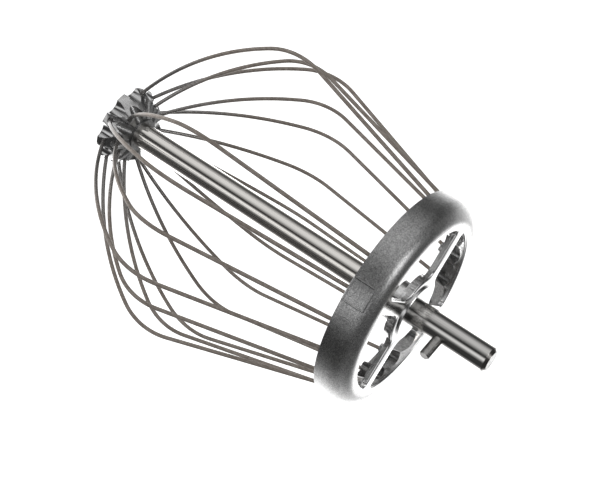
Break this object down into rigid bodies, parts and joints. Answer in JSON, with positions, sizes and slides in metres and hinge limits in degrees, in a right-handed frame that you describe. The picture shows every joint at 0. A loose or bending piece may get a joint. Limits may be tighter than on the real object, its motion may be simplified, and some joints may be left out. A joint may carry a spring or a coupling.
{
  "type": "balloon whisk",
  "caption": "Balloon whisk for a planetary dough mixer: spring-steel wires between a cast ring and a bottom hub on a centre shaft with a one-sided bayonet pin.",
  "frame": {"origin": "centre of the bottom hub's foot, on the shaft's axis", "axes": "+Z along the shaft's axis towards the mixer; the ring's four arms lie along X and Y"},
  "size_m": [0.2326, 0.2444, 0.354],
  "materials": {
    "ring_aluminium": "fine sand-cast and bead-blasted",
    "hub_aluminium": "polished casting",
    "shaft_steel": "ground and polished",
    "pin_steel": "ground",
    "wire_steel": "drawn spring wire",
    "fastener_steel": "plain"
  },
  "bodies": {
    "root": {"ring_casting": "ring_aluminium", "hub_casting": "hub_aluminium", "drive_shaft": "shaft_steel", "drive_pin": "pin_steel", "ring_retainer_pin": "fastener_steel", "hub_screw": "fastener_steel", "hub_washer": "fastener_steel", "wire_01_inner": "wire_steel", "wire_02_outer": "wire_steel", "wire_03_inner": "wire_steel", "wire_04_outer": "wire_steel", "wire_05_inner": "wire_steel", "wire_06_outer": "wire_steel", "wire_07_inner": "wire_steel", "wire_08_outer": "wire_steel", "wire_09_inner": "wire_steel", "wire_10_outer": "wire_steel", "wire_11_inner": "wire_steel", "wire_12_outer": "wire_steel", "wire_13_inner": "wire_steel", "wire_14_outer": "wire_steel", "wire_15_inner": "wire_steel", "wire_16_outer": "wire_steel", "wire_17_inner": "wire_steel", "wire_18_outer": "wire_steel"}
  },
  "joints": []
}
